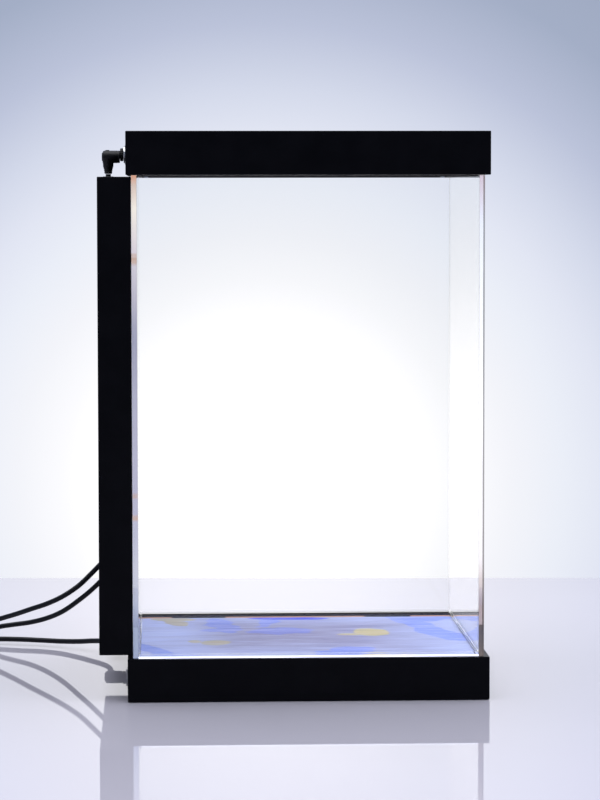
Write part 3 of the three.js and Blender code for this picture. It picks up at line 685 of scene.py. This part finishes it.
def flange_piece(prefix, place, body):
    """Square flange with softened edges, and its four screws."""
    rings = [
        (FLANGE_START, FLANGE_HOLE),
        (FLANGE_START, rounded_square(FLANGE_HALF - 0.35, 2.9)),
        (FLANGE_START + 0.35, rounded_square(FLANGE_HALF, 3.0)),
        (FLANGE_FACE - 0.8, rounded_square(FLANGE_HALF, 3.0)),
        (FLANGE_FACE - 0.25, rounded_square(FLANGE_HALF - 0.22, 2.9)),
        (FLANGE_FACE, rounded_square(FLANGE_HALF - 0.8, 2.6)),
        (FLANGE_FACE, RING_RADIUS + 0.6),
        (FLANGE_FACE - 0.3, RING_RADIUS + 0.3),
        (FLANGE_FACE - 0.3, FLANGE_HOLE),
    ]
    name = f"{prefix}_flange"
    flange = turned(rings, 128, closed=True)
    mesh_piece(name, [flange], PLASTIC, body, [f"{prefix}_inlet_flange"], place)
    spots = [(y * SCREW_PLACE, z * SCREW_PLACE) for y in (-1, 1) for z in (-1, 1)]
    screws = [screw_head(1.45, FLANGE_FACE, y, z) for y, z in spots]
    mesh_piece(f"{prefix}_flange_screws", screws, STEEL, body, (), place)


def socket_piece(prefix, place, body):
    """Bright socket: a barrel through the flange, a ring on its face and the bore for the plug's spigot."""
    rings = [
        (SOCKET_BACK, 0),
        (SOCKET_BACK, SOCKET_RADIUS - 0.3),
        (SOCKET_BACK + 0.3, SOCKET_RADIUS),
        (RING_START, SOCKET_RADIUS),
        (RING_START, RING_RADIUS - 0.2),
        (RING_START + 0.25, RING_RADIUS),
        (RING_END - 0.4, RING_RADIUS),
        (RING_END - 0.12, RING_RADIUS - 0.14),
        (RING_END, RING_RADIUS - 0.5),
        (RING_END, BORE_RADIUS + 0.4),
        (RING_END - 0.3, BORE_RADIUS),
        (-BORE_DEPTH, BORE_RADIUS),
        (-BORE_DEPTH, 0),
    ]
    socket = turned(rings, 96)
    mesh_piece(f"{prefix}_socket", [socket], NICKEL, body, [f"{prefix}_inlet_socket"], place)


def nut_piece(prefix, place, body):
    """Ribbed coupling nut with chamfered rims."""
    grip = knurled(NUT_RADIUS, 20, 0.42)
    rings = [
        (NUT_START, BORE_RADIUS),
        (NUT_START, NUT_RADIUS - 0.8),
        (NUT_START + 0.35, NUT_RADIUS - 0.45),
        (NUT_START + 0.55, grip),
        (NUT_END - 0.55, grip),
        (NUT_END - 0.35, NUT_RADIUS - 0.45),
        (NUT_END, NUT_RADIUS - 0.8),
        (NUT_END, BORE_RADIUS),
    ]
    nut = turned(rings, 240, closed=True)
    mesh_piece(f"{prefix}_nut", [nut], PLASTIC, body, [f"{prefix}_plug_nut"], place)


def elbow_piece(prefix, place, body):
    """Moulded right-angle elbow: a barrel with a stepped end, a stepped leg, a spigot and a round button."""
    barrel_rings = [
        (ELBOW_START, 0),
        (ELBOW_START, BARREL_RADIUS - 0.7),
        (ELBOW_START + 0.4, BARREL_RADIUS - 0.2),
        (ELBOW_START + 1.5, BARREL_RADIUS),
        (ELBOW_START + 2.0, BARREL_RADIUS - 0.3),
        (ELBOW_START + 2.5, BARREL_RADIUS - 0.3),
        (ELBOW_START + 3.0, BARREL_RADIUS - 0.05),
        (LEG_AXIS + 4.4, BARREL_RADIUS - 0.05),
        (LEG_AXIS + 5.6, 7.0),
        (LEG_AXIS + 6.2, 6.2),
        (LEG_AXIS + 6.4, 5.4),
        (LEG_AXIS + 7.0, 5.1),
        (LEG_AXIS + 7.5, 4.3),
        (LEG_AXIS + 7.7, 0),
    ]
    leg_rings = [
        (ELBOW_DROP - 1, 0),
        (ELBOW_DROP - 1, 6.9),
        (ELBOW_DROP + 6.8, 6.75),
        (10.4, 6.3),
        (14.6, 6.1),
        (15.0, 5.7),
        (17.0, 5.4),
        (17.3, 4.9),
        (17.8, 4.9),
        (18.1, 5.15),
        (19.0, 5.0),
        (19.3, 4.6),
        (19.8, 4.6),
        (20.1, 4.8),
        (21.4, 4.6),
        (LEG_TIP - 0.4, 4.3),
        (LEG_TIP, 3.9),
        (LEG_TIP, 0),
    ]
    spigot_rings = [
        (-BORE_DEPTH + 0.2, 0),
        (-BORE_DEPTH + 0.2, SPIGOT_RADIUS - 0.3),
        (-BORE_DEPTH + 0.6, SPIGOT_RADIUS),
        (ELBOW_START + 2, SPIGOT_RADIUS),
        (ELBOW_START + 2, 0),
    ]
    button_rings = [(-1.0, 0), (-1.0, 2.3), (0.35, 2.3), (0.6, 1.9), (0.6, 0)]

    to_leg = Matrix.Translation((LEG_AXIS, 0, 0)) @ Matrix.Rotation(math.pi / 2, 4, "Y")
    to_button = Matrix.Translation((LEG_AXIS + 1.0, 0.0, 5.0)) @ Matrix.Rotation(-math.pi / 2, 4, "Y")
    parts = [
        moved(turned(barrel_rings, 64), Matrix.Translation((0, 0, -ELBOW_DROP))),
        moved(turned(leg_rings, 56), to_leg),
        turned(spigot_rings, 48),
        moved(turned(button_rings, 32), to_button),
    ]
    mesh_piece(f"{prefix}_elbow", parts, PLASTIC, body, [f"{prefix}_plug_elbow"], place)


def connectors():
    """The three round connectors. Each one's middle comes from its packed flange."""
    tilted = (0, math.cos(STAND_LEG_TILT), -math.sin(STAND_LEG_TILT))
    for prefix, outward, leg, still, plug, nut in (
        ("hood", (-1, 0, 0), (0, 0, -1), "hood", "hood", "hood_nut"),
        ("stand", (-1, 0, 0), tilted, "tank_and_stand", "stand_plug", "stand_nut"),
        ("column", (0, 1, 0), (-1, 0, -1), "tank_and_stand", "column_plug", "column_nut"),
    ):
        low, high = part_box(f"{prefix}_inlet_flange")
        face = (low + high) / 2 - Vector(outward) * (FLANGE_FACE + FLANGE_START) / 2 * MM
        upright = connector_frame(face, outward, (0, 0, -1))
        leaning = connector_frame(face, outward, leg)
        flange_piece(prefix, upright, still)
        socket_piece(prefix, upright, still)
        nut_piece(prefix, leaning, nut)
        elbow_piece(prefix, leaning, plug)


# ------------------------------------------------------------------ glands and the hood's lead


def upright_place(x, y, z):
    """Local X points up."""
    return Matrix.Translation((x, y, z)) @ Matrix.Rotation(-math.pi / 2, 4, "Y")


def top_grommet():
    """Rubber ring in the column's top, which the hood's lead goes down through."""
    low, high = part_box("column_top_grommet")
    middle = (low + high) / 2
    height = (high.z - low.z) / MM
    rings = [
        (0.0, CABLE_RADIUS + 0.45),
        (0.0, 5.0),
        (0.3, 5.2),
        (height - 1.4, 5.2),
        (height - 1.4, 6.7),
        (height - 1.1, 7.0),
        (height - 0.7, 7.0),
        (height - 0.25, 6.5),
        (height, 5.6),
        (height, CABLE_RADIUS + 0.9),
        (height - 0.3, CABLE_RADIUS + 0.45),
    ]
    mesh_piece(
        "top_grommet",
        [turned(rings, 64, closed=True)],
        RUBBER,
        "tank_and_stand",
        ["column_top_grommet"],
        upright_place(middle.x, middle.y, low.z),
    )


def rear_gland():
    """Ribbed strain relief on the column's back, which the control lead comes out of."""
    low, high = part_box("column_rear_gland")
    middle = (low + high) / 2
    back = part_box("column_housing")[1].y
    start = (low.y - back) / MM
    rings = [
        (start, 0),
        (start, 4.7),
        (0.3, 4.7),
        (0.3, 6.3),
        (0.6, 6.5),
        (2.9, 6.5),
        (3.3, 6.1),
        (4.6, 4.9),
    ]
    ribs = 5
    for i in range(ribs):
        at = 5.2 + i * 2.0
        radius = 4.9 - 0.1 * i
        rings += [(at, radius - 0.6), (at + 0.5, radius - 0.6)]
        rings += [(at + 0.75, radius - 0.1), (at + 1.6, radius - 0.15)]
    rings += [(15.6, 4.0), (16.0, 3.7), (16.0, 0)]
    mesh_piece(
        "rear_gland",
        [turned(rings, 64)],
        RUBBER,
        "tank_and_stand",
        ["column_rear_gland"],
        connector_frame(Vector((middle.x, back, middle.z)), (0, 1, 0), (0, 0, -1)),
    )


def hood_lead():
    """The short lead from the hood's plug down into the column."""
    low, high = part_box("hood_lead")
    middle = (low + high) / 2
    long = (high.z - low.z) / MM
    rings = [(0.0, 0), (0.0, CABLE_RADIUS - 0.2), (0.2, CABLE_RADIUS), (long, CABLE_RADIUS), (long, 0)]
    mesh_piece(
        "hood_lead_jacket",
        [turned(rings, 40)],
        CABLE,
        "hood",
        ["hood_lead"],
        upright_place(middle.x, middle.y, low.z),
    )


# ------------------------------------------------------------------ free leads

OUTER_TURN = 39.2  # radius of the coil's outer turn
STEP = 2 * CABLE_RADIUS
TAIL = 26  # from the coil to the end connector
COIL_POINTS = 48  # points in each turn
FIRST_SHIFT = 275  # degrees wound before the lead first moves over by a diameter, then once in each turn
SHIFT_LENGTH = 75  # degrees that the move takes
CLIMB_SQUEEZE = 2.4  # how far the climb cuts inside its turn

# Millimetres and degrees, with length in metres. turn is 1 for a coil that winds anticlockwise seen from
# above, enter is where the lead meets it, wound how far it winds, and ties are places round it. The routes'
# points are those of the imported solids.
LEADS = [
    {
        "name": "column_cable",
        "body": "column_plug",
        "length": 1.61,
        "coil": (-409.3, 165),
        "turn": 1,
        "enter": 180,
        "wound": 2160,
        "ties": (35, 285),
        "route": [
            (-229.1, 211.6, 113.9),
            (-237, 211.8, 106),
            (-250, 211.4, 92.8),
            (-264, 210.6, 79.8),
            (-283, 212, 67),
            (-303, 219, 57),
            (-322, 232, 49.2),
            (-342, 247, 40.8),
            (-360, 260, 34),
            (-378, 270.5, 27),
            (-396, 275, 20.4),
            (-414, 274, 14.4),
            (-431, 267, 10.2),
            (-444, 254, 6.9),
            (-450.4, 236, 4.8),
            (-452, 215, 3.6),
            (-451, 192, 3.2),
            (-449.2, 176, 3.2),
            (-448.5, 165, 3.1),
        ],
    },
    {
        "name": "control_cable",
        "body": "tank_and_stand",
        "length": 1.47,
        "coil": (-424.2, 425),
        "turn": 1,
        "enter": 0,
        "wound": 1890,
        "ties": (150, 300),
        "route": [
            (-212.8, 204.4, 107),
            (-213.2, 209, 106.7),
            (-215.2, 216, 104.7),
            (-219.9, 222.4, 100),
            (-227, 225.4, 93),
            (-236.6, 226.6, 83.8),
            (-250, 229, 71),
            (-265, 235, 58.4),
            (-284, 247, 44),
            (-304, 262, 33.6),
            (-325, 276, 26.6),
            (-345, 286, 22.6),
            (-362, 294, 19.2),
            (-374, 304, 15),
            (-381.6, 319, 10.4),
            (-385, 338, 7),
            (-385.6, 362, 4.4),
            (-385.4, 394, 3.3),
            (-385, 425, 3.1),
        ],
    },
    {
        "name": "stand_cable",
        "body": "stand_plug",
        "length": 1.58,
        "coil": (-432.2, 338),
        "turn": -1,
        "enter": 180,
        "wound": 2160,
        "ties": (75, 320),
        "route": [
            (-223.6, 156.9, 18.3),
            (-223.8, 164, 17.3),
            (-225.4, 174, 16.2),
            (-229.4, 185, 15.1),
            (-237, 196.4, 13.8),
            (-248.6, 208, 12.2),
            (-264, 221, 9.8),
            (-286, 239, 7.6),
            (-311, 254, 6.9),
            (-337, 263.4, 6.9),
            (-362, 271.4, 6.4),
            (-383, 276.6, 5.2),
            (-405, 281.4, 3.8),
            (-427, 287, 3.4),
            (-447.6, 295.6, 3.2),
            (-462.4, 308.6, 3.2),
            (-470, 323.6, 3.2),
            (-471.4, 338, 3.1),
        ],
    },
]


def eased_line(points, per_span=8):
    """A Catmull-Rom curve through the points."""
    points = [Vector(point) for point in points]
    ends = [2 * points[0] - points[1], *points, 2 * points[-1] - points[-2]]
    line = []
    for before, start, end, after in zip(ends, ends[1:], ends[2:], ends[3:]):
        for i in range(per_span):
            t = i / per_span
            line.append(
                0.5
                * (
                    2 * start
                    + (end - before) * t
                    + (2 * before - 5 * start + 4 * end - after) * t * t
                    + (3 * start - before - 3 * end + after) * t * t * t
                )
            )
    return line + [points[-1]]


def coil_line(lead):
    """Three turns inward on the surface, a climb, and then outward on top of them, a diameter apart."""

    def shift(degrees, index):
        """0 before a shift, 1 after it."""
        start = FIRST_SHIFT + 360 * index
        return smooth(degrees, start, start + SHIFT_LENGTH)

    middle_x, middle_y = lead["coil"]
    wound = lead["wound"]
    count = int(wound / 360 * COIL_POINTS)
    line = []
    for i in range(1, count + 1):
        along = wound * i / count
        ahead = wound - along
        climb = shift(along, 2)
        inside = shift(along, 0) + shift(along, 1) + shift(ahead, 0) + shift(ahead, 1) - 2
        squeeze = CLIMB_SQUEEZE * math.sin(math.pi * climb)
        radius = OUTER_TURN - STEP * inside - squeeze
        angle = math.radians(lead["enter"] + lead["turn"] * along)
        x = middle_x + radius * math.cos(angle)
        y = middle_y + radius * math.sin(angle)
        line.append(Vector((x, y, CABLE_RADIUS + STEP * climb)))
    return line


def tie_piece(lead, index, degrees):
    """A soft strap round the coil's turns, with a square buckle on its outer side."""
    band = 3.2
    thickness = 0.45
    squareness = 0.45  # the power that squares off the strap's round outline
    inner = OUTER_TURN - 2 * STEP - CABLE_RADIUS
    outer = OUTER_TURN + CABLE_RADIUS
    middle = (inner + outer) / 2
    half_across = (outer - inner) / 2 + 0.5
    half_high = STEP + 0.35
    angle = math.radians(lead["enter"] + degrees)
    corners = 48
    loops = []
    vertices = []
    for grow, side in ((0, -1), (thickness, -1), (thickness, 1), (0, 1)):
        loops.append(list(range(len(vertices), len(vertices) + corners)))
        for i in range(corners):
            turn = 2 * math.pi * i / corners
            across = math.copysign(abs(math.cos(turn)) ** squareness, math.cos(turn)) * (half_across + grow)
            high = math.copysign(abs(math.sin(turn)) ** squareness, math.sin(turn)) * (half_high + grow)
            vertices.append((across, side * band / 2, max(high + STEP, 0.05)))
    strap = (vertices, skin(loops, closed=True))
    buckle_rings = [
        (-0.2, 0),
        (-0.2, rounded_square(2.4, 0.6)),
        (1.2, rounded_square(2.4, 0.6)),
        (1.6, rounded_square(2.0, 0.5)),
        (1.6, 0),
    ]
    buckle = moved(turned(buckle_rings, 32), Matrix.Translation((half_across, 0, STEP + 0.6)))
    place = (
        Matrix.Translation((lead["coil"][0] * MM, lead["coil"][1] * MM, 0))
        @ Matrix.Rotation(angle, 4, "Z")
        @ Matrix.Translation((middle * MM, 0, 0))
    )
    return mesh_piece(f"{lead['name']}_tie_{index}", [strap, buckle], TIE, lead["body"], (), place)


def end_connector(lead, start, heading):
    """Round plug on the lead's free end: ribbed boot, grooved barrel, knurled nut and a face with four pins.

    Its local X starts at the end of the lead's tail.
    """
    rings = [(0.3, 0), (0.3, 3.7), (0.7, 4.0)]
    ribs = 5
    for i in range(ribs):
        at = 1.4 + i * 2.5
        radius = 4.1 + 0.4 * i
        rings += [(at, radius), (at + 1.3, radius + 0.2)]
        rings += [(at + 1.5, radius - 0.35), (at + 2.1, radius - 0.25)]
    barrel = 7.2
    rings += [
        (14.3, barrel - 1.4),
        (14.6, barrel - 0.3),
        (15.2, barrel),
        (20.0, barrel),
        (20.3, barrel - 0.4),
        (21.0, barrel - 0.4),
        (21.3, barrel),
        (31.4, barrel),
        (32.3, barrel - 0.5),
        (32.3, 0),
    ]
    resting = CABLE_RADIUS + STEP - 0.05  # the nut reaches down to the table from the upper turns' height
    nut = [
        (32.5, 5.0),
        (32.5, resting - 0.9),
        (32.9, resting - 0.45),
        (33.2, knurled(resting, 24, 0.4)),
        (39.6, knurled(resting, 24, 0.4)),
        (39.9, resting - 0.45),
        (41.3, resting - 0.7),
        (41.3, 7.4),
        (37.0, 7.4),
        (37.0, 5.0),
    ]
    core = [(32.0, 0), (32.0, 4.9), (40.4, 4.9), (40.7, 4.6), (40.7, 0)]
    pin_circle = 2.4
    pins = []
    for i in range(4):
        angle = math.pi / 4 + i * math.pi / 2
        pin = turned([(40.5, 0), (40.5, 0.5), (41.2, 0.5), (41.3, 0.3), (41.3, 0)], 12)
        spot = (0, pin_circle * math.cos(angle), pin_circle * math.sin(angle))
        pins.append(moved(pin, Matrix.Translation(spot)))
    place = (
        Matrix.Translation(start * MM)
        @ Matrix.Rotation(heading, 4, "Z")
        @ Matrix.Translation((TAIL * MM, 0, 0))
    )
    name = lead["name"]
    body = lead["body"]
    plug = mesh_piece(
        f"{name}_plug",
        [turned(rings, 64), turned(core, 48)],
        PLASTIC,
        body,
        [f"{name}_end_connector"],
        place,
    )
    collar = mesh_piece(
        f"{name}_plug_collar", [turned(nut, 192, closed=True)], PLASTIC, body, (), place
    )
    contacts = mesh_piece(f"{name}_plug_pins", pins, NICKEL, body, (), place)
    return [plug, collar, contacts]


def free_lead(lead):
    """One lead as an open curve, from its exit along its route and through its coil to its end connector."""
    coil = coil_line(lead)
    leaving = math.radians(lead["enter"] + lead["turn"] * lead["wound"])
    heading = leaving + lead["turn"] * math.pi / 2
    out = Vector((math.cos(leaving), math.sin(leaving), 0))
    start = Vector((*lead["coil"], CABLE_RADIUS + STEP)) + OUTER_TURN * out
    along = Vector((math.cos(heading), math.sin(heading), 0))
    tail = [start + along * (TAIL * share) for share in (0.25, 0.5, 0.75, 1.015)]  # ends just inside the plug
    line = [point * MM for point in eased_line(lead["route"]) + coil + tail]

    curve = bpy.data.curves.new(lead["name"], "CURVE")
    curve.dimensions = "3D"
    spline = curve.splines.new("POLY")
    spline.points.add(len(line) - 1)
    for point, place in zip(spline.points, line):
        point.co = (*place, 1.0)
    curve.bevel_depth = CABLE_RADIUS * MM
    curve.bevel_resolution = 4
    curve.use_fill_caps = True
    curve.materials.append(CABLE)
    name = lead["name"]
    obj = link(bpy.data.objects.new(f"{name}_jacket", curve), lead["body"], [name, f"{name}_coil"])
    pieces = end_connector(lead, start, heading)
    pieces += [tie_piece(lead, i + 1, degrees) for i, degrees in enumerate(lead["ties"])]


# ------------------------------------------------------------------ stage, light and camera


# The table top, in metres, before it is turned.
TABLE_LEFT, TABLE_RIGHT = -3.5, 3.5
TABLE_FRONT, TABLE_BACK = -6.0, 0.925
TABLE_DROP = 0.0002
TABLE_TURN = math.radians(-3.1)


def stage():
    """A pale glossy table top that ends a little way behind the object."""
    made = Finish("pale_table", {"IOR": 1.5, "Specular IOR Level": 0.5})
    cloud = made.noise(0.6, detail=2.0)
    made.colour(made.mix(cloud, (0.475, 0.46, 0.525), (0.515, 0.50, 0.57)))
    made.roughness(cloud, 0.018, 0.028)
    front = [(TABLE_LEFT, TABLE_FRONT, 0), (TABLE_RIGHT, TABLE_FRONT, 0)]
    back = [(TABLE_RIGHT, TABLE_BACK, 0), (TABLE_LEFT, TABLE_BACK, 0)]
    mesh = bpy.data.meshes.new("table_top")
    mesh.from_pydata(front + back, [], [(0, 1, 2, 3)])
    mesh.materials.append(made.material)
    table = bpy.data.objects.new("table_top", mesh)
    table.matrix_world = Matrix.Translation((0, 0, -TABLE_DROP)) @ Matrix.Rotation(TABLE_TURN, 4, "Z")
    bpy.context.scene.collection.objects.link(table)


CAMERA_PLACE = Vector((-0.1647, -3.6481, 0.5633))
CAMERA_TURN = -2.564  # degrees about the vertical, then downwards, then about its own line of sight
CAMERA_DIP = -3.797
CAMERA_ROLL = 0.0675
CAMERA_LENS = 142.29  # millimetres, on a sensor 36 wide
GLOW_MIDDLE = Vector((-0.002, 1.2, 0.118))  # on the wall behind the table
GLOW_REACH = 1.25
GLOW_STOPS = [  # metres from the glow's middle
    (0.0, (1.32, 1.30, 1.30)),
    (0.15, (1.24, 1.22, 1.23)),
    (0.25, (1.08, 1.07, 1.09)),
    (0.31, (0.98, 0.98, 1.01)),
    (0.38, (0.90, 0.91, 0.96)),
    (0.46, (0.83, 0.86, 0.94)),
    (0.53, (0.76, 0.79, 0.90)),
    (0.60, (0.66, 0.70, 0.83)),
    (0.70, (0.50, 0.545, 0.70)),
    (0.82, (0.37, 0.425, 0.565)),
    (1.25, (0.29, 0.335, 0.45)),
]


def glow_ramp(tree, reach):
    """The glow's colour at a distance from its middle."""
    share = tree.nodes.new("ShaderNodeMapRange")
    share.inputs["From Max"].default_value = GLOW_REACH
    tree.links.new(reach, share.inputs["Value"])
    ramp = tree.nodes.new("ShaderNodeValToRGB")
    tree.links.new(share.outputs[0], ramp.inputs[0])
    elements = ramp.color_ramp.elements
    while len(elements) < len(GLOW_STOPS):
        elements.new(0.5)
    for element, (metres, colour) in zip(elements, GLOW_STOPS):
        element.position = metres / GLOW_REACH
        element.color = (*colour, 1.0)
    return ramp.outputs[0]


def vector_node(tree, operation, first, second):
    """A vector node fed by an output and a constant."""
    made = tree.nodes.new("ShaderNodeVectorMath")
    made.operation = operation
    tree.links.new(first, made.inputs[0])
    made.inputs["Scale" if operation == "SCALE" else 1].default_value = second
    return made


def world_light():
    """A pale studio: the glow behind the tank fades to lavender grey all round, a little darker in front.

    The glow is placed as the camera's place would see it, but it stays where it is when the camera moves.
    """
    world = bpy.data.worlds.new("studio")
    bpy.context.scene.world = world
    world.use_nodes = True
    tree = world.node_tree
    background = tree.nodes["Background"]
    place = tree.nodes.new("ShaderNodeTexCoord").outputs["Generated"]
    sight = GLOW_MIDDLE - CAMERA_PLACE
    on_wall = vector_node(tree, "SCALE", place, sight.length)
    distance = vector_node(tree, "DISTANCE", on_wall.outputs["Vector"], sight)
    tree.links.new(glow_ramp(tree, distance.outputs["Value"]), background.inputs["Color"])

    split = tree.nodes.new("ShaderNodeSeparateXYZ")
    tree.links.new(place, split.inputs[0])
    front = tree.nodes.new("ShaderNodeMapRange")
    front.interpolation_type = "SMOOTHSTEP"
    for socket, value in (("From Min", 0.3), ("From Max", -0.8), ("To Min", 1.0), ("To Max", 0.75)):
        front.inputs[socket].default_value = value
    tree.links.new(split.outputs["Y"], front.inputs["Value"])
    tree.links.new(front.outputs[0], background.inputs["Strength"])


def glow_wall():
    """The lit wall behind the table, met only by light that the table and the glass pass on."""
    material = bpy.data.materials.new("glow_wall")
    material.use_nodes = True
    tree = material.node_tree
    place = tree.nodes.new("ShaderNodeTexCoord").outputs["Object"]
    distance = vector_node(tree, "DISTANCE", place, (0, 0, 0))
    glow = tree.nodes.new("ShaderNodeEmission")
    tree.links.new(glow_ramp(tree, distance.outputs["Value"]), glow.inputs["Color"])
    tree.links.new(glow.outputs[0], tree.nodes["Material Output"].inputs["Surface"])
    mesh = bpy.data.meshes.new("glow_wall")
    mesh.from_pydata([(-2.2, 0, -0.8), (2.2, 0, -0.8), (2.2, 0, 2.0), (-2.2, 0, 2.0)], [], [(0, 1, 2, 3)])
    mesh.materials.append(material)
    wall = bpy.data.objects.new("glow_wall", mesh)
    wall.matrix_world = Matrix.Translation(GLOW_MIDDLE)
    wall.visible_camera = False
    bpy.context.scene.collection.objects.link(wall)


def soft_light(name, place, aim, width, depth, power):
    """A rectangular lamp that points at aim."""
    light = bpy.data.lights.new(name, "AREA")
    light.shape = "RECTANGLE"
    light.size = width
    light.size_y = depth
    light.energy = power
    light.color = (0.97, 0.97, 1.0)
    lamp = bpy.data.objects.new(name, light)
    direction = Vector(aim) - Vector(place)
    lamp.matrix_world = Matrix.Translation(place) @ direction.to_track_quat("-Z", "Y").to_matrix().to_4x4()
    lamp.visible_camera = False
    bpy.context.scene.collection.objects.link(lamp)


def camera():
    """A long lens, a little left of the middle and above it, looking slightly down and to the right."""
    data = bpy.data.cameras.new("camera")
    data.sensor_width = 36
    data.lens = CAMERA_LENS
    turn = (
        Matrix.Rotation(math.radians(CAMERA_TURN), 4, "Z")
        @ Matrix.Rotation(math.radians(CAMERA_DIP), 4, "X")
        @ Matrix.Rotation(math.radians(CAMERA_ROLL), 4, "Y")
        @ Matrix.Rotation(math.radians(90), 4, "X")
    )
    view = bpy.data.objects.new("camera", data)
    view.matrix_world = Matrix.Translation(CAMERA_PLACE) @ turn
    bpy.context.scene.collection.objects.link(view)
    bpy.context.scene.camera = view


paint_nodes()
panes()
connectors()
top_grommet()
rear_gland()
hood_lead()
for lead in LEADS:
    free_lead(lead)
stage()
world_light()
glow_wall()
soft_light("top_softbox", place=(0, 0, 3.2), aim=(0, -0.3, 0), width=6.0, depth=4.0, power=245)
camera()
bpy.context.scene.view_settings.view_transform = "Standard"
